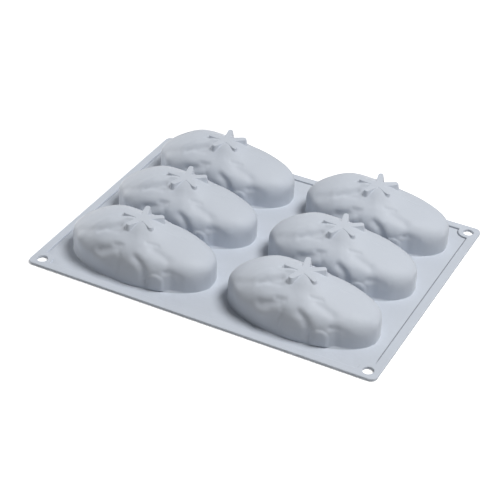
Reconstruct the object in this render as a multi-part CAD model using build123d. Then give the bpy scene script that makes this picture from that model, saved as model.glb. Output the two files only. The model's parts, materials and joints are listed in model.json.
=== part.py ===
from build123d import *
import math
import os

# Silicone cake mould, shown upside down: six lobed cups stand up from a thin sheet.
# Millimetres. Origin at the centre of the flat underside, X along the long side, Z up.

# Sheet, raised rim, and corner pads flush with the rim
PLATE_LENGTH = 299.0
PLATE_WIDTH = 225.0
PLATE_CORNER = 5.0
RIM_WIDTH = 7.0
RIM_HEIGHT = 2.4
RIM_EDGE_CHAMFER = 0.5
WEB_HEIGHT = 1.4
PAD_RADIUS = 8.2
PAD_CORNER_ARC = 3.4
HOLE_RADIUS = 4.25
HOLE_INSET_X = 9.0
HOLE_INSET_Y = 8.8

# Cup grid
COLUMNS = {"left": -0.5, "right": 0.5}
ROWS = {"front": -1, "middle": 0, "back": 1}
PITCH_X = 139.5
PITCH_Y = 69.5

# Cup outline where it leaves the sheet, a superellipse in four quarters
REACH_LEFT = 61.0
REACH_RIGHT = 62.7
HALF_WIDTH = 29.6
FRONT_FULLNESS = 1.9
BACK_FULLNESS = 2.8
FOOT_SPREAD = 0.6
FOOT_RISE = 0.6
WALL = 2.0

# Crown of the cup, above the sheet: falls straight to the right, bends down to the left, a shoulder, a peak
CROWN_HEIGHT = 39.9
CROWN_FALL = 0.185
CROWN_BEND = 12.0
CROWN_LEFT_DROOP = 9.3
CROWN_SIDE_DROOP = 2.8
SHOULDER_X = -31.5
SHOULDER_RISE = 3.6
SHOULDER_LENGTH = 17.0
PEAK_RISE = 3.2
PEAK_REACH = 15.0
ROUNDING_SIDE = 8.0
ROUNDING_TOP = 1.3

# Rings of flat facets on the cup's wall and crown: shares of the crown height, and points on each ring
WALL_LEVELS = (0.32, 0.62)
CROWN_LEVELS = (0.79, 0.91, 0.97, 0.993)
RING_POINTS = 30

# Folds of the fruit skin: line in the cup's own frame, reach to each side, height or depth
FOLDS = (
    (((6, -29, 4), (6, -29, 17)), 9.0, 1.8),
    (((27, -26, 2), (27, -26, 9)), 7.0, 1.6),
    (((2, -12, 39), (10, -20, 33), (20, -23, 27)), 6.0, 1.0),
    (((14, -25, 27), (18, -28, 17), (19, -28, 2)), 4.0, -1.6),
    (((38, -22, 20), (41, -22, 2)), 6.0, -2.2),
    (((-9, -25, 30), (-23, -27, 21), (-33, -24, 14)), 5.0, -1.4),
    (((52, -10, 17),), 14.0, 1.4),
    (((-40, -18, 14), (-30, -26, 6)), 12.0, 1.1),
    (((-3, 29, 8), (-3, 27, 20)), 10.0, 1.6),
    (((27, 26, 4), (28, 24, 16)), 9.0, 1.3),
    (((14, 25, 26), (16, 28, 8)), 5.0, -1.2),
    (((-18, 26, 24), (-16, 28, 6)), 5.0, -1.1),
)
FOLD_FADE = 0.05

# Star-shaped calyx on top: each arm's direction in degrees and its reach
STAR_X = 0.2
STAR_Y = 1.9
STAR_TOP = 43.0
STAR_ARMS = ((41, 17.0), (106, 17.3), (185, 15.0), (256, 15.6), (325, 15.0))
STAR_TIP_RADIUS = 2.2
STAR_TIP_FACETS = 3
STAR_ROOT_HALF_WIDTH = 3.2
STAR_WALL = 1.4
STAR_EDGE_CHAMFER = 0.7
STAR_BLOCK_HEIGHT = 12.0

# Facets of a quarter turn on the small arcs round the corner pads
ARC_FACETS = 4


def save(shape, node):
    """Write one solid to its STEP file."""
    shape.label = node
    export_step(shape, os.path.join("parts", node + ".step"))


def outline_reach(angle, grow):
    """Plan point of the cup outline, grown outward by a few millimetres."""
    c = math.cos(angle)
    s = math.sin(angle)
    length = (REACH_RIGHT if c > 0 else REACH_LEFT) + grow
    width = HALF_WIDTH + grow
    fullness = BACK_FULLNESS if s > 0 else FRONT_FULLNESS
    reach = (abs(c / length) ** fullness + abs(s / width) ** fullness) ** (-1 / fullness)
    return reach * c, reach * s


def crown(x, y):
    """Height of the crown over a plan point: a long dome, a higher left shoulder, a peak under the star."""
    fall = CROWN_FALL * (x + math.hypot(x, CROWN_BEND)) / 2
    left_droop = CROWN_LEFT_DROOP * (min(x, 0) / REACH_LEFT) ** 2
    side_droop = CROWN_SIDE_DROOP * (y / HALF_WIDTH) ** 2
    shoulder = SHOULDER_RISE * math.exp(-(((x - SHOULDER_X) / SHOULDER_LENGTH) ** 2))
    peak = PEAK_RISE * math.exp(-((math.hypot(x - STAR_X, y - STAR_Y) / PEAK_REACH) ** 4))
    return CROWN_HEIGHT - fall - left_droop - side_droop + shoulder + peak


def distance_to_line(point, line):
    """Least distance from a point to a broken line, or to its single point."""
    if len(line) == 1:
        return math.dist(point, line[0])
    nearest = math.inf
    for start, end in zip(line, line[1:]):
        run = [b - a for a, b in zip(start, end)]
        along = sum((p - a) * r for p, a, r in zip(point, start, run))
        share = min(1, max(0, along / sum(r * r for r in run)))
        foot = [a + share * r for a, r in zip(start, run)]
        nearest = min(nearest, math.dist(point, foot))
    return nearest


def fold_height(point, level):
    """How far the folds push the skin out or in, fading out towards the sheet."""
    total = 0
    for line, reach, height in FOLDS:
        total += height * math.exp(-((distance_to_line(point, line) / reach) ** 2))
    return total * min(1, level / FOLD_FADE)


def skin_point(angle, level, grow):
    """Point of the cup's skin at a share of the crown height."""
    edge_x, edge_y = outline_reach(angle, grow)
    share = (1 - level ** ROUNDING_SIDE) ** (1 / ROUNDING_TOP)
    x = edge_x * share + STAR_X * (1 - share)
    y = edge_y * share + STAR_Y * (1 - share)
    z = level * (crown(x, y) + grow)
    push = fold_height((x, y, z), level)
    steepness = share ** 3
    heading = math.atan2(edge_y / HALF_WIDTH ** 2, edge_x / REACH_RIGHT ** 2)
    sideways = push * steepness
    return Vector(
        x + sideways * math.cos(heading),
        y + sideways * math.sin(heading),
        WEB_HEIGHT + z + push * (1 - steepness),
    )


def ring_angles():
    """Directions of the ring points, evenly spread along the long narrow outline."""
    flatness = math.sqrt(HALF_WIDTH / REACH_RIGHT)
    turns = [2 * math.pi * (i + 0.5) / RING_POINTS for i in range(RING_POINTS)]
    return [math.atan2(flatness * math.sin(turn), math.cos(turn)) for turn in turns]


def outline_ring(grow, height):
    """Flat ring of the cup outline at a height."""
    return [Vector(*outline_reach(angle, grow), height) for angle in ring_angles()]


def skin_rings(levels, grow):
    """Rings of the skin at shares of the crown height."""
    return [[skin_point(angle, level, grow) for angle in ring_angles()] for level in levels]


def facet(*corners):
    """Flat face through its corners."""
    return Face(Wire.make_polygon(corners))


def band(low, high):
    """Facets between two rings: each four-sided gap is one flat face, or two along its shorter diagonal."""
    facets = []
    count = len(low)
    for i in range(count):
        a = low[i]
        b = low[(i + 1) % count]
        c = high[(i + 1) % count]
        d = high[i]
        if abs((b - a).cross(d - a).normalized().dot(c - a)) < 1e-6:
            facets.append(facet(a, b, c, d))
        elif (c - a).length < (d - b).length:
            facets += [facet(a, b, c), facet(a, c, d)]
        else:
            facets += [facet(a, b, d), facet(b, c, d)]
    return facets


def bands(rings):
    """Facets through a stack of rings, open at both ends."""
    facets = []
    for low, high in zip(rings, rings[1:]):
        facets += band(low, high)
    return facets


def crown_facets(rings, grow):
    """Facets through a stack of rings, closed at the crown's centre."""
    facets = bands(rings)
    centre = skin_point(0, 1, grow)
    last = rings[-1]
    for start, end in zip(last, last[1:] + last[:1]):
        facets.append(facet(start, end, centre))
    return facets


def make_dome():
    """Closed solid under the cup's outer skin, from the sheet's top face up."""
    rings = [outline_ring(0, WEB_HEIGHT)] + skin_rings(WALL_LEVELS + CROWN_LEVELS, 0)
    return Solid(Shell(crown_facets(rings, 0) + [facet(*rings[0])]))


def make_cup_wall():
    """Side wall of the cup: spread foot in the sheet, open mouth below, open to the crown above."""
    outside = [
        outline_ring(FOOT_SPREAD, 0),
        outline_ring(FOOT_SPREAD, WEB_HEIGHT),
        outline_ring(0, WEB_HEIGHT + FOOT_RISE),
    ]
    outside += skin_rings(WALL_LEVELS, 0)
    inside = [outline_ring(-WALL, 0), outline_ring(-WALL, WEB_HEIGHT)]
    inside += skin_rings(WALL_LEVELS, -WALL)
    mouth = Face(Wire.make_polygon(outside[0]), [Wire.make_polygon(inside[0])])
    facets = bands(outside) + bands(inside) + band(outside[-1], inside[-1])
    return Solid(Shell(facets + [mouth]))


def make_cup_crown(groove):
    """Domed crown of the cup on its wall, with the window under the star."""
    levels = WALL_LEVELS[-1:] + CROWN_LEVELS
    outside = skin_rings(levels, 0)
    inside = skin_rings(levels, -WALL)
    facets = crown_facets(outside, 0) + crown_facets(inside, -WALL)
    return Solid(Shell(facets + band(outside[0], inside[0]))) - groove


def star_ring(inset, height):
    """Star outline at a height, drawn in by an inset: a faceted tip to each arm, one corner between arms."""
    ring = []
    tip_radius = STAR_TIP_RADIUS - inset
    following = STAR_ARMS[1:] + ((STAR_ARMS[0][0] + 360, 0),)
    for (direction, reach), (next_direction, _) in zip(STAR_ARMS, following):
        heading = math.radians(direction)
        along = reach - STAR_TIP_RADIUS
        for i in range(STAR_TIP_FACETS + 1):
            turn = math.pi * (i / STAR_TIP_FACETS - 0.5)
            reach_x = along * math.cos(heading) + tip_radius * math.cos(heading + turn)
            reach_y = along * math.sin(heading) + tip_radius * math.sin(heading + turn)
            ring.append(Vector(STAR_X + reach_x, STAR_Y + reach_y, height))
        middle = math.radians((direction + next_direction) / 2)
        half_gap = math.radians((next_direction - direction) / 2)
        root = (STAR_ROOT_HALF_WIDTH - inset) / math.sin(half_gap)
        ring.append(Vector(STAR_X + root * math.cos(middle), STAR_Y + root * math.sin(middle), height))
    return ring


def stack(rings):
    """Closed solid through a stack of rings, with flat ends."""
    return Solid(Shell(bands(rings) + [facet(*rings[0]), facet(*rings[-1])]))


def make_groove():
    """Hollow of the star relief, open to the cup's cavity below."""
    top = WEB_HEIGHT + STAR_TOP - STAR_WALL
    return stack([star_ring(STAR_WALL, top - STAR_BLOCK_HEIGHT), star_ring(STAR_WALL, top)])


def make_star(dome, groove):
    """Hollow star relief seated on the dome, with chamfered upper edges."""
    top = WEB_HEIGHT + STAR_TOP
    block = stack(
        [
            star_ring(0, top - STAR_BLOCK_HEIGHT),
            star_ring(0, top - STAR_EDGE_CHAMFER),
            star_ring(STAR_EDGE_CHAMFER, top),
        ]
    )
    return block - dome - groove


def arc_points(centre, radius, start, end):
    """Points along an arc between two directions, both ends included."""
    count = max(2, math.ceil(abs(end - start) / 90 * ARC_FACETS))
    points = []
    for i in range(count + 1):
        turn = math.radians(start + (end - start) * i / count)
        points.append((centre[0] + radius * math.cos(turn), centre[1] + radius * math.sin(turn)))
    return points


def pad_outline():
    """Pad outline round the hole at the plate's far corner, both sides turned outward."""
    inner_x = HOLE_INSET_X - RIM_WIDTH
    inner_y = HOLE_INSET_Y - RIM_WIDTH
    start = math.degrees(math.acos(inner_y / PAD_RADIUS)) + 90
    end = 360 - math.degrees(math.acos(inner_x / PAD_RADIUS))
    points = arc_points((0, 0), PAD_RADIUS, start, end)
    low_x, low_y = points[-1]
    left_x, left_y = points[0]
    points += [
        (low_x + PAD_CORNER_ARC, low_y + PAD_CORNER_ARC / 5),
        (HOLE_INSET_X, low_y + PAD_CORNER_ARC / 2),
    ]
    corner = (HOLE_INSET_X - PLATE_CORNER, HOLE_INSET_Y - PLATE_CORNER)
    points += arc_points(corner, PLATE_CORNER, 0, 90)
    points += [
        (left_x + PAD_CORNER_ARC / 2, HOLE_INSET_Y),
        (left_x + PAD_CORNER_ARC / 5, left_y + PAD_CORNER_ARC),
    ]
    return points


def make_pads():
    """Corner pads with their through holes, and the blocks they take out of rim and sheet."""
    pads = {}
    blocks = []
    for row, side_y in (("front", -1), ("back", 1)):
        for column, side_x in (("left", -1), ("right", 1)):
            hole_x = side_x * (PLATE_LENGTH / 2 - HOLE_INSET_X)
            hole_y = side_y * (PLATE_WIDTH / 2 - HOLE_INSET_Y)
            corners = [Vector(hole_x + side_x * u, hole_y + side_y * v) for u, v in pad_outline()]
            face = facet(*corners)
            pad = extrude(face, RIM_HEIGHT, dir=(0, 0, 1))
            hole = Pos(hole_x, hole_y, RIM_HEIGHT / 2) * Cylinder(HOLE_RADIUS, 2 * RIM_HEIGHT)
            pads["corner_pad_" + row + "_" + column] = pad - hole
            blocks.append(extrude(face, 2 * RIM_HEIGHT, dir=(0, 0, 1)))
    return pads, blocks


def make_rim(blocks):
    """Four straight rails of the raised rim, with their upper outer edges broken."""
    rails = {}
    low = Align.MIN
    mid = Align.CENTER
    long_rail = Box(PLATE_LENGTH - 2 * HOLE_INSET_X, RIM_WIDTH, RIM_HEIGHT, align=(mid, low, low))
    short_rail = Box(RIM_WIDTH, PLATE_WIDTH - 2 * HOLE_INSET_Y, RIM_HEIGHT, align=(low, mid, low))
    long_edge = long_rail.edges().filter_by(Axis.X).sort_by(Axis.Y)[:2].sort_by(Axis.Z)[-1]
    short_edge = short_rail.edges().filter_by(Axis.Y).sort_by(Axis.X)[:2].sort_by(Axis.Z)[-1]
    long_rail = chamfer(long_edge, RIM_EDGE_CHAMFER)
    short_rail = chamfer(short_edge, RIM_EDGE_CHAMFER)
    for node, turn, rail, place in (
        ("rim_front", 0, long_rail, (0, -PLATE_WIDTH / 2, 0)),
        ("rim_back", 180, long_rail, (0, PLATE_WIDTH / 2, 0)),
        ("rim_left", 0, short_rail, (-PLATE_LENGTH / 2, 0, 0)),
        ("rim_right", 180, short_rail, (PLATE_LENGTH / 2, 0, 0)),
    ):
        placed = Pos(*place) * Rot(0, 0, turn) * rail
        for block in blocks:
            placed = placed - block
        rails[node] = placed
    return rails


def make_web(across, blocks):
    """Half of the thin sheet inside the rim, cut out for its corner pads and its column of cups."""
    half_length = PLATE_LENGTH / 2 - RIM_WIDTH
    sheet = Pos(across * half_length, 0, WEB_HEIGHT / 2) * Box(half_length, PLATE_WIDTH - 2 * RIM_WIDTH, WEB_HEIGHT)
    for block in blocks:
        sheet = sheet - block
    cup_hole = extrude(facet(*outline_ring(FOOT_SPREAD, 0)), WEB_HEIGHT, dir=(0, 0, 1))
    for along in ROWS.values():
        sheet = sheet - Pos(across * PITCH_X, along * PITCH_Y, 0) * cup_hole
    return sheet


os.makedirs("parts", exist_ok=True)

pads, pad_blocks = make_pads()
for node, pad in pads.items():
    save(pad, node)
for node, rail in make_rim(pad_blocks).items():
    save(rail, node)
for column, across in COLUMNS.items():
    save(make_web(across, pad_blocks), "web_sheet_" + column)

groove = make_groove()
cup_zones = {
    "cup_wall": make_cup_wall(),
    "cup_crown": make_cup_crown(groove),
    "star": make_star(make_dome(), groove),
}
for zone, solid in cup_zones.items():
    for column, across in COLUMNS.items():
        for row, along in ROWS.items():
            save(Pos(across * PITCH_X, along * PITCH_Y, 0) * solid, zone + "_" + row + "_" + column)
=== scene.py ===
import json
import math

import bmesh
import bpy
import numpy as np
from mathutils import Matrix, Vector


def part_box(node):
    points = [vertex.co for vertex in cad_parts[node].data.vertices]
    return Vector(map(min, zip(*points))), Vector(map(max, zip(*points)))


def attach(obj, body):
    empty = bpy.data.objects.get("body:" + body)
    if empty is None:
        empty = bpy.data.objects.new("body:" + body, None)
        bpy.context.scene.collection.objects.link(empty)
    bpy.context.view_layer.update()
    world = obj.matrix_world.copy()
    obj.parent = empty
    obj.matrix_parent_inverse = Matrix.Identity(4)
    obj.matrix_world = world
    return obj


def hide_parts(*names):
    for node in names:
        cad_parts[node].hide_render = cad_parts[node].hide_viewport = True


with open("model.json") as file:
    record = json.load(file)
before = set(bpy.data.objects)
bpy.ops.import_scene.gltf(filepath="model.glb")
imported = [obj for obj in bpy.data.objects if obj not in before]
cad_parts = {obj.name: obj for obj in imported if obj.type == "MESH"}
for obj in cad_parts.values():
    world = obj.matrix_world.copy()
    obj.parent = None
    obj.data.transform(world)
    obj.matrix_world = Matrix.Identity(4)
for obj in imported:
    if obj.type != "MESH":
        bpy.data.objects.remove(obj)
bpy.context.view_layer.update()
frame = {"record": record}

# Silicone cake mould, shown upside down. Sizes are in millimetres unless a heading says otherwise.
MM = 0.001

# Where the six cups stand, their outline, a superellipse in four quarters, their foot, wall and mouth
CUP_COLUMNS = {"left": -0.5, "right": 0.5}
CUP_ROWS = {"front": -1, "middle": 0, "back": 1}
CUP_PITCH_X = 139.5
CUP_PITCH_Y = 69.5
REACH_LEFT = 61.0
REACH_RIGHT = 62.7
HALF_WIDTH = 29.6
FRONT_FULLNESS = 1.9
BACK_FULLNESS = 2.8
FOOT_SPREAD = 0.6
CUP_WALL = 2.0
MOUTH_ROUND = 1.0
MOUTH_STEPS = 3

# Crown of the cup above the sheet: fall to the right, droops, shoulder on the left, peak and swell
CROWN_HEIGHT = 39.9
CROWN_FALL = 0.185
CROWN_BEND = 12.0
CROWN_LEFT_DROOP = 9.3
CROWN_SIDE_DROOP = 2.8
SHOULDER_X = -31.5
SHOULDER_RISE = 3.6
SHOULDER_LENGTH = 17.0
PEAK_RISE = 3.2
PEAK_REACH = 15.0
PEAK_FLATNESS = 4
SWELL_X = 11.0
SWELL_Y = -4.0
SWELL_RISE = 2.6
SWELL_REACH = 9.0
ROUNDING_SIDE = 8.0
ROUNDING_TOP = 1.3

# Star relief on the crown: each arm's direction in degrees and its reach
STAR_X = 0.2
STAR_Y = 1.9
STAR_TOP = 43.0
STAR_FALL = 0.08
STAR_BEND = 5.0
STAR_ARMS = ((41, 17.0), (106, 17.3), (180, 16.8), (248, 15.7), (328, 15.0))
STAR_TIP_HALF_WIDTH = 2.2
STAR_ROOT_HALF_WIDTH = 3.0
STAR_ROOT_BLEND = 0.6
STAR_EDGE_ROUND = 0.7
STAR_WALL_SLOPE = 6.0
STAR_FOOT_BLEND = 1.2
STAR_GROOVE_INSET = 1.4

# Lobes of the wall: path from the cup's centre on the sheet's top, radius, height, edge sharpness
LOBES = (
    (((6.7, -29, -2), (6.7, -29, 13.0)), 11.5, 0.6, 3),
    (((27, -26.5, -2), (27, -26.0, 8.8)), 7.2, 1.1, 8),
)
LOBE_BLEND = 0.25

# Soft ridges and hollows of the skin: path, reach, and height, negative for a hollow
FOLDS = (
    # Ridge down the front from the star, and the arched groove left of it with its lip and swell
    (
        ((2, -9, 40), (6.7, -17.4, 34), (13.3, -20.9, 31), (19.4, -23.9, 27), (22.3, -26.0, 20)),
        5.0,
        0.5,
    ),
    (
        ((10.8, -27.3, 25), (15, -27.7, 22), (17.3, -28, 18.6), (18.6, -28.1, 14.5), (19, -28, 9)),
        3.4,
        -1.3,
    ),
    (((10.5, -24.6, 28.9), (16, -25.6, 26.4)), 2.8, 0.6),
    (((11.5, -28.3, 19.5), (13.0, -28.3, 15)), 4.0, 0.3),
    # Slanted hollow on the front left, the ridge under it, the front lobe's left border, a dimple
    (
        ((-21.5, -27.0, 22.4), (-17.0, -27.3, 24.3), (-11.5, -26.9, 27.0), (-6.5, -26.3, 28.6)),
        3.3,
        -1.3,
    ),
    (((-26.0, -26.2, 20.8), (-16.0, -27.5, 24.6)), 5.0, -0.4),
    (((-17.5, -28.2, 16.5), (-11.5, -28.9, 19.0), (-6.0, -28.6, 22.8)), 3.0, 0.4),
    (((-2.7, -28.7, 24.0), (-4.4, -29.5, 16.3), (-5.5, -29.4, 8)), 2.0, -0.4),
    (((-10.0, -24.6, 30.4), (-5.8, -24.4, 30.9), (-3.2, -24.2, 30.9)), 1.9, -0.8),
    # Creases of the right crown, and the bump above the right lobe
    (((13.9, -15.2, 33.0), (21.8, -12.7, 32.0)), 1.5, -0.6),
    (((20.2, -17.2, 30.6), (26.7, -17.8, 28.5), (33.5, -18.2, 26.2)), 3.6, -0.9),
    (((22, -27.3, 15), (27, -26.2, 14)), 7.0, 0.9),
    (((23.3, 5.3, 33.7), (35.2, 7.7, 30.2)), 1.3, -0.45),
    # Creases and ridges of the left crown, and the ring at its end
    (((-27.4, -18.0, 34.2), (-21.5, -15.2, 36.3), (-12.8, -10.6, 38.2)), 2.6, -1.3),
    (((-22.4, -10.0, 38.1), (-14.0, -6.2, 39.4)), 2.8, 0.6),
    (((-19.4, -16.3, 35.9), (-11.5, -15.6, 36.2)), 2.4, -0.7),
    (((-33.0, -14.0, 34.7), (-29.0, -10.4, 37.1), (-24.6, -6.1, 38.7)), 2.6, 0.5),
    (
        (
            (-45.5, -10.5, 29.5),
            (-49.7, -11.3, 26.1),
            (-50.7, -13.8, 22.6),
            (-46.3, -17.7, 21.6),
            (-40.9, -20.5, 23),
        ),
        3.0,
        0.3,
    ),
    (((-45.9, -15.9, 25.6), (-40.3, -17.3, 29.0), (-34.8, -18.3, 31.5)), 3.5, -0.6),
    # Bulge of the left wall and hollows of the right wall
    (((-41.5, -20.9, 18), (-28.9, -25.5, 19), (-20, -27.3, 16)), 8.0, 2.0),
    (((36.5, -22.4, 19.5), (40, -21.4, 18), (44.5, -19.8, 15.5)), 3.4, -0.5),
    (((38.2, -22, 16), (38.8, -22.5, 0)), 4.2, -1.3),
    (((44.5, -19.8, 11), (45, -20, 0)), 5.0, -0.6),
    # Shoulders cut back a little, left and right
    (((-36.7, -20.9, 27.5), (-26.8, -21.3, 32.0), (-17.5, -20.5, 33.8)), 6.0, -0.7),
    (((35.7, -20.8, 24.0), (47.1, -17.0, 20.8), (56.9, -10.2, 18.4)), 5.5, -0.5),
    # Filling under the star's left arm, the pocket at its tip, a hollow on the right, two swells
    (((-11.2, -2.9, 41.0), (-5.5, -2.9, 42.0)), 1.7, 0.8),
    (((-18.2, 1.4, 40),), 2.0, -0.8),
    (((34.1, -24, 17.6),), 2.2, -0.7),
    (((52, -10, 17),), 12.0, 1.0),
    (((-40, -18, 14), (-30, -26, 6)), 11.0, 0.5),
    # Two lobes and two hollows on the back of the cup
    (((-3, 29, 8), (-3, 27, 20)), 8.5, 1.5),
    (((27, 26, 4), (28, 24, 16)), 7.0, 1.2),
    (((14, 25, 26), (16, 28, 8)), 4.0, -1.2),
    (((-18, 26, 24), (-16, 28.5, 6)), 4.0, -1.1),
)
FOLD_FADE = 0.05

# How finely the cup skin is meshed, and a value that keeps a division off zero
SKIN_ANGLES = 300
STAR_SEARCH_REACH = 26.0
STAR_SEARCH_STEPS = 400
STAR_INNER_SHARES = (0.35, 0.7)
STAR_EDGE_STEPS = 4
STAR_WALL_OFFSETS = (0.15, 0.35, 0.55, 0.75, 0.95, 1.15, 1.4, 1.7, 2.1, 2.6, 3.2)
BLEND_SHARE = 0.8
BLEND_RINGS = 16
SIDE_RINGS = 42
FOOT_RINGS = 5
TINY = 1e-12

# Corner pads, rim and sheet, with the groove at the rim's foot; the shades are painted shade,
# darkening the colour in the groove and at the foot of the rim's inner wall
PLATE_CORNER = 5.5
PAD_RADIUS = 8.2
PAD_FILLET = 1.2
OUTER_ROUND = 0.6
LOWER_ROUND = 0.4
INNER_ROUND = 0.45
GROOVE_DEPTH = 0.25
GROOVE_WIDTH = 0.75
GROOVE_SLOPE = 0.3
GROOVE_FADE_Y = (-94.3, -86.4)
GROOVE_FADE_X = (-142.5, 60.0)
GROOVE_LEFT_SHARE = 0.4
GROOVE_EDGE_SHADE = 0.9
RIM_WALL_SHADES = (1, 0.8, 0.3)
RUN_OUT = 8.0
EDGE_FLAT = 0.05
EDGE_STEPS = 4
ARC_STEP = math.radians(4)
SHARP_ANGLE = math.radians(40)

# Silicone: colours, noise scales per metre, bump distances in metres, gloss and sheen
TINT_DARK = (0.565, 0.605, 0.67, 1)
TINT_LIGHT = (0.605, 0.645, 0.71, 1)
# Colour of the painted shade in the rim's groove
PAINTED_SHADE_TINT = (0.24, 0.258, 0.292, 1)
CLOUD_SCALE = 28
CLOUD_DETAIL = 4
ROUGHNESS_LOW = 0.5
ROUGHNESS_HIGH = 0.66
WAVE_SCALE = 85
WAVE_DETAIL = 2
WAVE_STRENGTH = 0.5
WAVE_DISTANCE = 0.0009
GRAIN_SCALE = 2200
GRAIN_DETAIL = 3
GRAIN_STRENGTH = 0.12
GRAIN_DISTANCE = 0.0002
GLOSS_LEVEL = 0.35
SHEEN_WEIGHT = 0.6
SHEEN_ROUGHNESS = 0.25

# Photograph's view: metres and radians, the mould's offset in the frame, the sensor in millimetres
VIEW_AZIMUTH = math.radians(25.81)
VIEW_ELEVATION = math.radians(34.53)
VIEW_ROLL = math.radians(-2.54)
VIEW_DISTANCE = 1.209
VIEW_RIGHT = 0.0081
VIEW_DOWN = -0.00414
VIEW_TARGET_HEIGHT = 0.0024
LENS_TO_SENSOR = 2.99
SENSOR_WIDTH = 36.0

# Studio, in metres and watts: the floor and its fade, the surroundings and two lamps
FLOOR_REACH = 1.2
FLOOR_DROP = 0.0002
FLOOR_ROUGHNESS = 0.9
FLOOR_BOUNCE = (0.65, 0.65, 0.65, 1)
WHITE = (1, 1, 1, 1)
FLOOR_LIFT = 0.3
FLOOR_FADE_FROM = 0.45
FLOOR_FADE_TO = 1.05
WORLD_STRENGTH = 0.1
KEY_PLACE = (0.793, 0.083, 1.79)
KEY_SIZE = 0.85
KEY_POWER = 32.3
SIDE_PLACE = (-1.85, 0.2, 0.3)
SIDE_SIZE = 0.7
SIDE_POWER = 13.0


def box_of(node):
    """Lowest and highest corner of a CAD node, in millimetres."""
    low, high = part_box(node)
    return low / MM, high / MM


WEB_TOP = box_of("web_sheet_left")[1].z
RIM_TOP = box_of("rim_front")[1].z
RIM_WIDTH = box_of("rim_front")[1].y - box_of("rim_front")[0].y
PLATE_X = box_of("rim_right")[1].x
PLATE_Y = box_of("rim_back")[1].y
HOLES = next(mount for mount in frame["record"]["mounts"] if mount["name"] == "hanging_holes")["dims"]
HOLE_RADIUS = HOLES["hole_r_mm"]
HOLE_X = HOLES["spacing_x_mm"] / 2
HOLE_Y = HOLES["spacing_y_mm"] / 2


def placed(name, data):
    """Object in the scene from its mesh, lamp or camera data."""
    thing = bpy.data.objects.new(name, data)
    bpy.context.scene.collection.objects.link(thing)
    return thing


def outline_reach(angle, grow):
    """Plan points of the cup outline, grown outward."""
    c = np.cos(angle)
    s = np.sin(angle)
    length = np.where(c > 0, REACH_RIGHT, REACH_LEFT) + grow
    width = HALF_WIDTH + grow
    fullness = np.where(s > 0, BACK_FULLNESS, FRONT_FULLNESS)
    reach = (np.abs(c / length) ** fullness + np.abs(s / width) ** fullness) ** (-1 / fullness)
    return reach * c, reach * s


def skin_angles():
    """Directions round the outline, evenly spread along it."""
    flatness = math.sqrt(HALF_WIDTH / REACH_RIGHT)
    turns = 2 * math.pi * (np.arange(SKIN_ANGLES) + 0.5) / SKIN_ANGLES
    return np.arctan2(flatness * np.sin(turns), np.cos(turns))


def crown(x, y):
    """Height of the crown over a plan point."""
    fall = CROWN_FALL * (x + np.hypot(x, CROWN_BEND)) / 2
    left_droop = CROWN_LEFT_DROOP * (np.minimum(x, 0) / REACH_LEFT) ** 2
    side_droop = CROWN_SIDE_DROOP * (y / HALF_WIDTH) ** 2
    shoulder = SHOULDER_RISE * np.exp(-(((x - SHOULDER_X) / SHOULDER_LENGTH) ** 2))
    peak = PEAK_RISE * np.exp(-((np.hypot(x - STAR_X, y - STAR_Y) / PEAK_REACH) ** PEAK_FLATNESS))
    swell = SWELL_RISE * np.exp(-((np.hypot(x - SWELL_X, y - SWELL_Y) / SWELL_REACH) ** 2))
    return CROWN_HEIGHT - fall - left_droop - side_droop + shoulder + peak + swell


def dome(level, share, grow):
    """Smooth dome: rows are rings, columns are directions."""
    edge_x, edge_y = outline_reach(skin_angles(), grow)
    x = edge_x * share + STAR_X * (1 - share)
    y = edge_y * share + STAR_Y * (1 - share)
    z = level * (crown(x, y) + grow)
    return np.stack([x, y, z], axis=-1)


def surface_normals(grid):
    """Outward normals of a grid that closes round its columns."""
    down = np.gradient(grid, axis=0)
    wrapped = np.concatenate([grid[:, -1:], grid, grid[:, :1]], axis=1)
    across = (wrapped[:, 2:] - wrapped[:, :-2]) / 2
    normals = np.cross(down, across)
    return normals / (np.linalg.norm(normals, axis=2, keepdims=True) + TINY)


def distance_to_path(points, path):
    """Distance from each grid point to a broken line or a single point."""
    path = np.array(path, float)
    if len(path) == 1:
        return np.linalg.norm(points - path[0], axis=-1)
    nearest = np.full(points.shape[:-1], np.inf)
    for start, end in zip(path, path[1:]):
        run = end - start
        along = np.clip((points - start) @ run / (run @ run), 0, 1)
        foot = start + along[..., None] * run
        nearest = np.minimum(nearest, np.linalg.norm(points - foot, axis=-1))
    return nearest


def fold_heights(points, level):
    """How far the lobes, ridges and hollows move each point of the skin out or in."""
    total = np.ones(points.shape[:-1])
    for path, radius, height, sharpness in LOBES:
        rise = height * (1 - (distance_to_path(points, path) / radius) ** sharpness)
        total += np.exp(np.maximum(rise, -height) / LOBE_BLEND)
    total = np.log(total) * LOBE_BLEND
    for path, reach, height in FOLDS:
        total += height * np.exp(-((distance_to_path(points, path) / reach) ** 2))
    return total * np.minimum(1, level / FOLD_FADE)


def star_distance(x, y):
    """Signed distance to the star outline, positive outside, with rounded corners between arms."""
    total = np.zeros(np.shape(x))
    for direction, reach in STAR_ARMS:
        heading = math.radians(direction)
        length = reach - STAR_TIP_HALF_WIDTH
        along = (x - STAR_X) * math.cos(heading) + (y - STAR_Y) * math.sin(heading)
        aside = -(x - STAR_X) * math.sin(heading) + (y - STAR_Y) * math.cos(heading)
        held = np.clip(along, 0, length)
        taper = (STAR_TIP_HALF_WIDTH - STAR_ROOT_HALF_WIDTH) * held / length
        distance = np.hypot(along - held, aside) - (STAR_ROOT_HALF_WIDTH + taper)
        total = total + np.exp(-distance / STAR_ROOT_BLEND)
    return -np.log(total) * STAR_ROOT_BLEND


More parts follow.
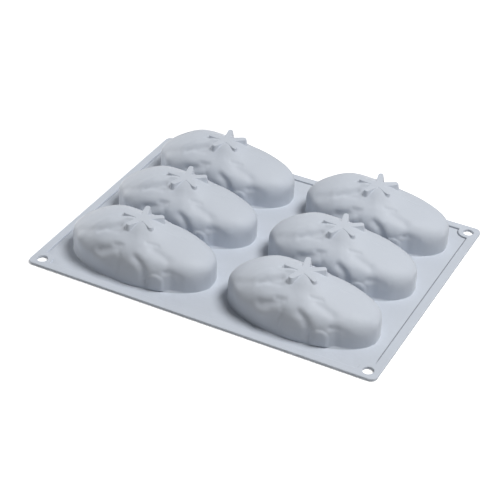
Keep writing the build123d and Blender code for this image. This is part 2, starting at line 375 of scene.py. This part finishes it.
def star_shares(edge_x, edge_y, offsets):
    """Shares of the way out at which each direction crosses the star outline's offset curves."""
    reach = np.hypot(edge_x - STAR_X, edge_y - STAR_Y)
    radii = np.linspace(0, STAR_SEARCH_REACH, STAR_SEARCH_STEPS)
    across = (edge_x - STAR_X) / reach
    up = (edge_y - STAR_Y) / reach
    distance = star_distance(STAR_X + across[:, None] * radii, STAR_Y + up[:, None] * radii)
    shares = []
    for offset in offsets:
        inside = distance <= offset
        last = inside.shape[1] - 1 - np.argmax(inside[:, ::-1], axis=1)
        last = np.minimum(last, len(radii) - 2)
        rows = np.arange(len(last))
        low = distance[rows, last]
        high = distance[rows, last + 1]
        between = np.clip((offset - low) / (high - low), 0, 1)
        shares.append((radii[last] + between * (radii[1] - radii[0])) / reach)
    return shares


def star_height(distance, top):
    """Height of the star relief by signed distance: flat top, rounded edge, steep drafted wall."""
    inset = np.clip(-distance, 0, STAR_EDGE_ROUND)
    rounded = np.sqrt(STAR_EDGE_ROUND ** 2 - (STAR_EDGE_ROUND - inset) ** 2)
    return top - STAR_EDGE_ROUND + rounded - STAR_WALL_SLOPE * np.maximum(distance, 0)


def blended_top(a, b, reach):
    """The higher of two heights, with the corner between them filled."""
    near = np.maximum(reach - np.abs(a - b), 0) / reach
    return np.maximum(a, b) + near ** 2 * reach / 4


def skin_grid(grow, star_inset, star_top):
    """Rings of a cup skin from the star's centre out and down to the sheet."""
    edge_x, edge_y = outline_reach(skin_angles(), grow)
    edge_turns = np.linspace(0, math.pi / 2, STAR_EDGE_STEPS + 1)
    offsets = [-STAR_EDGE_ROUND * (1 - math.sin(turn)) - star_inset for turn in edge_turns]
    offsets += [offset - star_inset for offset in STAR_WALL_OFFSETS]
    star_rings = star_shares(edge_x, edge_y, offsets)
    shares = [star_rings[0] * share for share in STAR_INNER_SHARES] + star_rings
    last = star_rings[-1]
    for i in range(1, BLEND_RINGS + 1):
        shares.append(last + (BLEND_SHARE - last) * i / BLEND_RINGS)
    shares = np.array(shares)
    levels = (1 - np.clip(shares, 0, 1) ** ROUNDING_TOP) ** (1 / ROUNDING_SIDE)
    side_levels = levels[-1, 0] * (1 - np.arange(1, SIDE_RINGS + 1) / SIDE_RINGS)
    side_shares = (1 - side_levels ** ROUNDING_SIDE) ** (1 / ROUNDING_TOP)
    across = np.ones((1, SKIN_ANGLES))
    levels = np.concatenate([levels, side_levels[:, None] * across])
    shares = np.concatenate([shares, side_shares[:, None] * across])
    grid = dome(levels, shares, grow)
    outer = dome(levels, shares, 0)
    grid = grid + surface_normals(grid) * fold_heights(outer, levels)[..., None]
    distance = star_distance(grid[..., 0], grid[..., 1]) + star_inset
    fall = STAR_FALL * (grid[..., 0] + np.hypot(grid[..., 0], STAR_BEND)) / 2
    star = star_height(distance, star_top - fall)
    with_star = blended_top(grid[..., 2], star, STAR_FOOT_BLEND)
    grid[..., 2] = np.where(shares < BLEND_SHARE, with_star, grid[..., 2])
    return grid


def foot_rings(grid):
    """Fillet from the cup's wall out into the sheet, then the hidden edge down to the underside."""
    angles = skin_angles()
    rings = []
    for i in range(1, FOOT_RINGS + 1):
        turn = math.pi / 2 * i / FOOT_RINGS
        out_x, out_y = outline_reach(angles, FOOT_SPREAD * (1 - math.cos(turn)))
        height = FOOT_SPREAD * (1 - math.sin(turn))
        rings.append(np.stack([out_x, out_y, np.full(SKIN_ANGLES, height)], axis=-1))
    under = rings[-1].copy()
    under[:, 2] = -WEB_TOP
    return rings + [under]


def mouth_rings():
    """Rounded lip of the mouth on the underside."""
    rings = []
    angles = skin_angles()
    for i in range(MOUTH_STEPS + 1):
        turn = math.pi / 2 * i / MOUTH_STEPS
        x, y = outline_reach(angles, -CUP_WALL + MOUTH_ROUND * (1 - math.sin(turn)))
        height = -WEB_TOP + MOUTH_ROUND * (1 - math.cos(turn))
        rings.append(np.stack([x, y, np.full(SKIN_ANGLES, height)], axis=-1))
    return rings


def cup_mesh(silicone):
    """One closed skin: star, dome, foot, underside, mouth lip and the cavity with its star."""
    outside = skin_grid(0, 0, STAR_TOP)
    foot_start = outside[outside[:, 0, 2] > FOOT_SPREAD]
    inside = skin_grid(-CUP_WALL, STAR_GROOVE_INSET, STAR_TOP - STAR_GROOVE_INSET)
    rings = list(foot_start) + foot_rings(outside) + mouth_rings() + list(inside[::-1])
    count = SKIN_ANGLES
    points = np.concatenate(rings)
    points[:, 2] += WEB_TOP
    faces = []
    for k in range(len(rings) - 1):
        high = k * count
        low = high + count
        for i in range(count):
            j = (i + 1) % count
            faces.append((high + i, low + i, low + j, high + j))
    outer_centre = points[:count].mean(axis=0)
    inner_centre = points[-count:].mean(axis=0)
    last = (len(rings) - 1) * count
    points = np.concatenate([points, [outer_centre, inner_centre]])
    for i in range(count):
        j = (i + 1) % count
        faces.append((i, j, len(points) - 2))
        faces.append((last + j, last + i, len(points) - 1))
    mesh = bpy.data.meshes.new("cup_skin")
    mesh.from_pydata([tuple(point) for point in points * MM], [], faces)
    mesh.update()
    mesh.shade_smooth()
    mesh.materials.append(silicone)
    return mesh


def make_cups(silicone):
    """Six cups that share one mesh."""
    mesh = cup_mesh(silicone)
    for column, across in CUP_COLUMNS.items():
        for row, along in CUP_ROWS.items():
            cup = placed("cup_skin_" + row + "_" + column, mesh)
            cup.location = (across * CUP_PITCH_X * MM, along * CUP_PITCH_Y * MM, 0)
            zones = ("cup_wall", "cup_crown", "star")
            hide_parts(*[zone + "_" + row + "_" + column for zone in zones])
            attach(cup, "root")


def arc(centre, radius, start, end):
    """Points along an arc between two directions, both ends included."""
    count = max(2, math.ceil(abs(end - start) / ARC_STEP))
    turns = [start + (end - start) * i / count for i in range(count + 1)]
    return [(centre[0] + radius * math.cos(t), centre[1] + radius * math.sin(t)) for t in turns]


def four_corners(corner):
    """Closed outline, anticlockwise, from the path round its far right corner."""
    loop = []
    for side_x, side_y in ((1, 1), (-1, 1), (-1, -1), (1, -1)):
        path = [(side_x * x, side_y * y) for x, y in corner]
        loop += path if side_x * side_y > 0 else path[::-1]
    return loop


def plate_outline():
    """Outer edge of the plate, with rounded corners."""
    centre = (PLATE_X - PLATE_CORNER, PLATE_Y - PLATE_CORNER)
    return four_corners(arc(centre, PLATE_CORNER, 0, math.pi / 2))


def sheet_outline():
    """Inner edge of the rim, which swings round each corner pad with a fillet on either side."""
    edge_x = PLATE_X - RIM_WIDTH - HOLE_X - PAD_FILLET
    edge_y = PLATE_Y - RIM_WIDTH - HOLE_Y - PAD_FILLET
    reach = PAD_RADIUS + PAD_FILLET
    low = (edge_x, -math.sqrt(reach ** 2 - edge_x ** 2))
    left = (-math.sqrt(reach ** 2 - edge_y ** 2), edge_y)
    low_turn = math.atan2(low[1], low[0])
    left_turn = math.atan2(left[1], left[0]) - 2 * math.pi
    path = arc(low, PAD_FILLET, 0, low_turn + math.pi)
    path += arc((0, 0), PAD_RADIUS, low_turn, left_turn)[1:-1]
    path += arc(left, PAD_FILLET, left_turn + math.pi, math.pi / 2)
    path.insert(0, (path[0][0], path[0][1] - RUN_OUT))
    path.append((path[-1][0] - RUN_OUT, path[-1][1]))
    return four_corners([(HOLE_X + u, HOLE_Y + v) for u, v in path])


def circle(x, y, radius):
    """Closed outline of a round hole."""
    return arc((x, y), radius, 0, 2 * math.pi)[:-1]


def moved_in(loop, distance):
    """Outline moved to its left by a distance, square to itself."""
    points = np.array(loop)
    after = np.roll(points, -1, axis=0) - points
    after /= np.linalg.norm(after, axis=1, keepdims=True)
    before = np.roll(after, 1, axis=0)
    left = np.stack([-(after + before)[:, 1], (after + before)[:, 0]], axis=1)
    left /= np.linalg.norm(left, axis=1, keepdims=True)
    square = np.stack([-after[:, 1], after[:, 0]], axis=1)
    return points + left * distance / (left * square).sum(axis=1, keepdims=True)


def rounded_top(radius, top):
    """Rows round an upper edge, with a narrow flat at the end, as flat_piece takes them."""
    rows = []
    for i in range(EDGE_STEPS + 1):
        turn = math.pi / 2 * i / EDGE_STEPS
        rows.append((radius * (1 - math.cos(turn)), top - radius * (1 - math.sin(turn)), 0, 0))
    return rows + [(radius + EDGE_FLAT, top, 0, 0)]


def rounded_foot(radius):
    """Rows round a lower edge, starting with a narrow flat, as flat_piece takes them."""
    rows = [(radius + EDGE_FLAT, 0, 0, 0)]
    for i in range(EDGE_STEPS + 1):
        turn = math.pi / 2 * i / EDGE_STEPS
        rows.append((radius * (1 - math.sin(turn)), radius * (1 - math.cos(turn)), 0, 0))
    return rows


def flat_piece(name, edges, nodes, silicone):
    """Flat closed piece: each edge is an outline, the side its body lies on and its rows.

    A row is an inset, a height, a groove depth below it and a painted shade, which darkens the colour
    where shade falls in the groove. The last two are weaker on the left and fade out to the front.
    """
    work = bmesh.new()
    ends = ([], [])
    shades = []
    for loop, side, rows in edges:
        rings = []
        for inset, height, depth, shade in rows:
            ring = moved_in(loop, side * inset)
            share = np.interp(ring[:, 1], GROOVE_FADE_Y, (0, 1))
            share = share * np.interp(ring[:, 0], GROOVE_FADE_X, (GROOVE_LEFT_SHARE, 1))
            points = np.column_stack([ring, height - depth * share]) * MM
            rings.append([work.verts.new(point) for point in points])
            shades += list(shade * share)
        for low, high in zip(rings, rings[1:]):
            for i in range(len(low)):
                work.faces.new((low[i - 1], low[i], high[i], high[i - 1]))
        for end, ring in zip(ends, (rings[0], rings[-1])):
            end += [work.edges.get((ring[i - 1], ring[i])) for i in range(len(ring))]
    for end, up in zip(ends, (-1, 1)):
        bmesh.ops.triangle_fill(work, use_beauty=True, edges=end, normal=(0, 0, up))
    bmesh.ops.recalc_face_normals(work, faces=work.faces)
    mesh = bpy.data.meshes.new(name)
    work.to_mesh(mesh)
    work.free()
    # Painted shade for the material, one value for each point
    mesh.attributes.new("painted_shade", "FLOAT", "POINT").data.foreach_set("value", shades)
    mesh.shade_smooth()
    mesh.set_sharp_from_angle(angle=SHARP_ANGLE)
    mesh.materials.append(silicone)
    piece = placed(name, mesh)
    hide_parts(*nodes)
    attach(piece, "root")


def make_rim(silicone):
    """Raised rim with its corner pads and their holes, one flush band."""
    outer_rows = rounded_foot(LOWER_ROUND) + rounded_top(OUTER_ROUND, RIM_TOP)
    # The rim's inner wall gets painted shade, darkest at its foot
    heights = (0, WEB_TOP - GROOVE_DEPTH, WEB_TOP)
    inner_rows = [(0, height, 0, shade) for height, shade in zip(heights, RIM_WALL_SHADES)]
    inner_rows += rounded_top(INNER_ROUND, RIM_TOP)
    edges = [(plate_outline(), 1, outer_rows), (sheet_outline(), -1, inner_rows)]
    for side_x in (-1, 1):
        for side_y in (-1, 1):
            hole = circle(side_x * HOLE_X, side_y * HOLE_Y, HOLE_RADIUS)
            edges.append((hole, -1, outer_rows))
    nodes = ["rim_front", "rim_back", "rim_left", "rim_right"]
    for row in ("front", "back"):
        nodes += ["corner_pad_" + row + "_left", "corner_pad_" + row + "_right"]
    flat_piece("rim_skin", edges, nodes, silicone)


def make_web(silicone):
    """Thin sheet inside the rim, with the six cups' outlines cut out."""
    upright = [(0, 0, 0, 0), (0, WEB_TOP, 0, 0)]
    bank = GROOVE_WIDTH + GROOVE_SLOPE
    # Groove at the rim's foot, with shade painted on its floor and bank
    groove = [
        (0, 0, 0, 1),
        (0, WEB_TOP, GROOVE_DEPTH, 1),
        (GROOVE_WIDTH, WEB_TOP, GROOVE_DEPTH, 1),
        (bank, WEB_TOP, 0, GROOVE_EDGE_SHADE),
        (bank + EDGE_FLAT, WEB_TOP, 0, 0),
    ]
    edges = [(sheet_outline(), 1, groove)]
    foot_x, foot_y = outline_reach(skin_angles(), FOOT_SPREAD)
    for across in CUP_COLUMNS.values():
        for along in CUP_ROWS.values():
            foot = list(zip(foot_x + across * CUP_PITCH_X, foot_y + along * CUP_PITCH_Y))
            edges.append((foot, -1, upright))
    flat_piece("web_sheet_skin", edges, ["web_sheet_left", "web_sheet_right"], silicone)


def new_material(name):
    """Material with its nodes, links and main shader."""
    material = bpy.data.materials.new(name)
    material.use_nodes = True
    nodes = material.node_tree.nodes
    links = material.node_tree.links
    return material, nodes, links, nodes["Principled BSDF"]


def noise(nodes, links, place, scale, detail):
    """Value of a noise laid out by position."""
    texture = nodes.new("ShaderNodeTexNoise")
    texture.inputs["Scale"].default_value = scale
    texture.inputs["Detail"].default_value = detail
    links.new(place.outputs["Position"], texture.inputs["Vector"])
    return texture.outputs["Fac"]


def bump(nodes, links, height, strength, distance):
    """Bump node over a height."""
    relief = nodes.new("ShaderNodeBump")
    relief.inputs["Strength"].default_value = strength
    relief.inputs["Distance"].default_value = distance
    links.new(height, relief.inputs["Height"])
    return relief


def colour_mix(nodes, links, factor):
    """Mix of two colours by a factor."""
    mix = nodes.new("ShaderNodeMix")
    mix.data_type = "RGBA"
    links.new(factor, mix.inputs["Factor"])
    return mix


def silicone_material():
    """Matt pale blue-grey silicone: cloudy tint, shade painted darker along the rim's groove, soft
    waves and moulded grain.
    """
    material, nodes, links, shader = new_material("matt_silicone")
    place = nodes.new("ShaderNodeNewGeometry")
    cloud = noise(nodes, links, place, CLOUD_SCALE, CLOUD_DETAIL)
    tint = colour_mix(nodes, links, cloud)
    tint.inputs["A"].default_value = TINT_DARK
    tint.inputs["B"].default_value = TINT_LIGHT
    # Shade painted into the colour along the rim's groove, by each point's painted shade value
    painted_shade = nodes.new("ShaderNodeAttribute")
    painted_shade.attribute_name = "painted_shade"
    shaded = colour_mix(nodes, links, painted_shade.outputs["Fac"])
    shaded.inputs["B"].default_value = PAINTED_SHADE_TINT
    links.new(tint.outputs["Result"], shaded.inputs["A"])
    links.new(shaded.outputs["Result"], shader.inputs["Base Color"])
    rough = nodes.new("ShaderNodeMapRange")
    rough.inputs["To Min"].default_value = ROUGHNESS_LOW
    rough.inputs["To Max"].default_value = ROUGHNESS_HIGH
    links.new(cloud, rough.inputs["Value"])
    links.new(rough.outputs["Result"], shader.inputs["Roughness"])
    flow = noise(nodes, links, place, WAVE_SCALE, WAVE_DETAIL)
    waves = bump(nodes, links, flow, WAVE_STRENGTH, WAVE_DISTANCE)
    speckle = noise(nodes, links, place, GRAIN_SCALE, GRAIN_DETAIL)
    grain = bump(nodes, links, speckle, GRAIN_STRENGTH, GRAIN_DISTANCE)
    links.new(waves.outputs["Normal"], grain.inputs["Normal"])
    links.new(grain.outputs["Normal"], shader.inputs["Normal"])
    shader.inputs["Specular IOR Level"].default_value = GLOSS_LEVEL
    shader.inputs["Sheen Weight"].default_value = SHEEN_WEIGHT
    shader.inputs["Sheen Roughness"].default_value = SHEEN_ROUGHNESS
    return material


def backdrop_rays(nodes, links):
    """One for the rays that show the backdrop: camera, glossy and transmission rays."""
    path = nodes.new("ShaderNodeLightPath")
    total = path.outputs["Is Camera Ray"]
    for kind in ("Is Glossy Ray", "Is Transmission Ray"):
        both = nodes.new("ShaderNodeMath")
        both.operation = "MAXIMUM"
        links.new(total, both.inputs[0])
        links.new(path.outputs[kind], both.inputs[1])
        total = both.outputs["Value"]
    return total


def floor_material():
    """White paper that fades, far from the mould, to the white of the surroundings."""
    material, nodes, links, shader = new_material("studio_floor")
    shader.inputs["Roughness"].default_value = FLOOR_ROUGHNESS
    shader.inputs["Specular IOR Level"].default_value = 0.0
    view = backdrop_rays(nodes, links)
    paper = colour_mix(nodes, links, view)
    paper.inputs["A"].default_value = FLOOR_BOUNCE
    paper.inputs["B"].default_value = WHITE
    links.new(paper.outputs["Result"], shader.inputs["Base Color"])
    place = nodes.new("ShaderNodeNewGeometry")
    away = nodes.new("ShaderNodeVectorMath")
    away.operation = "LENGTH"
    links.new(place.outputs["Position"], away.inputs[0])
    fade = nodes.new("ShaderNodeMapRange")
    fade.inputs["From Min"].default_value = FLOOR_FADE_FROM
    fade.inputs["From Max"].default_value = FLOOR_FADE_TO
    fade.inputs["To Min"].default_value = FLOOR_LIFT
    fade.inputs["To Max"].default_value = 1.0
    links.new(away.outputs["Value"], fade.inputs["Value"])
    lift = nodes.new("ShaderNodeMath")
    lift.operation = "MULTIPLY"
    links.new(fade.outputs["Result"], lift.inputs[0])
    links.new(view, lift.inputs[1])
    shader.inputs["Emission Color"].default_value = WHITE
    links.new(lift.outputs["Value"], shader.inputs["Emission Strength"])
    return material


def make_floor():
    """Square floor just under the mould."""
    sides = ((-1, -1), (1, -1), (1, 1), (-1, 1))
    corners = [(x * FLOOR_REACH, y * FLOOR_REACH, 0) for x, y in sides]
    mesh = bpy.data.meshes.new("studio_floor")
    mesh.from_pydata(corners, [], [(0, 1, 2, 3)])
    mesh.materials.append(floor_material())
    piece = placed("studio_floor", mesh)
    piece.location.z = -FLOOR_DROP


def make_surroundings():
    """White where the camera sees them, dim as a light."""
    world = bpy.data.worlds.new("studio")
    world.use_nodes = True
    nodes = world.node_tree.nodes
    links = world.node_tree.links
    strength = nodes.new("ShaderNodeMix")
    strength.inputs["A"].default_value = WORLD_STRENGTH
    strength.inputs["B"].default_value = 1.0
    links.new(backdrop_rays(nodes, links), strength.inputs["Factor"])
    nodes["Background"].inputs["Color"].default_value = WHITE
    links.new(strength.outputs["Result"], nodes["Background"].inputs["Strength"])
    bpy.context.scene.world = world


def add_lamp(name, place, size, power):
    """Large soft lamp aimed at the mould."""
    data = bpy.data.lights.new(name, "AREA")
    data.shape = "DISK"
    data.size = size
    data.energy = power
    lamp = placed(name, data)
    lamp.location = place
    lamp.rotation_euler = Vector(place).to_track_quat("Z", "Y").to_euler()


def make_studio():
    """Floor, surroundings, a lamp high on the right and a weak one low on the left."""
    make_floor()
    make_surroundings()
    add_lamp("key_lamp", KEY_PLACE, KEY_SIZE, KEY_POWER)
    add_lamp("side_lamp", SIDE_PLACE, SIDE_SIZE, SIDE_POWER)


def make_camera():
    """Camera at the photograph's place, turned and rolled as it was."""
    back = Vector(
        (
            math.sin(VIEW_AZIMUTH) * math.cos(VIEW_ELEVATION),
            -math.cos(VIEW_AZIMUTH) * math.cos(VIEW_ELEVATION),
            math.sin(VIEW_ELEVATION),
        )
    )
    level_right = Vector((math.cos(VIEW_AZIMUTH), math.sin(VIEW_AZIMUTH), 0))
    level_up = back.cross(level_right)
    right = math.cos(VIEW_ROLL) * level_right - math.sin(VIEW_ROLL) * level_up
    up = back.cross(right)
    target = Vector((0, 0, VIEW_TARGET_HEIGHT))
    place = target + VIEW_DISTANCE * back - VIEW_RIGHT * right + VIEW_DOWN * up
    data = bpy.data.cameras.new("camera")
    data.sensor_width = SENSOR_WIDTH
    data.lens = LENS_TO_SENSOR * SENSOR_WIDTH
    camera = placed("camera", data)
    turn = Matrix((right, up, back)).transposed()
    camera.matrix_world = Matrix.Translation(place) @ turn.to_4x4()
    bpy.context.scene.camera = camera


silicone = silicone_material()
make_cups(silicone)
make_rim(silicone)
make_web(silicone)
make_studio()
make_camera()
bpy.context.scene.view_settings.view_transform = "Standard"
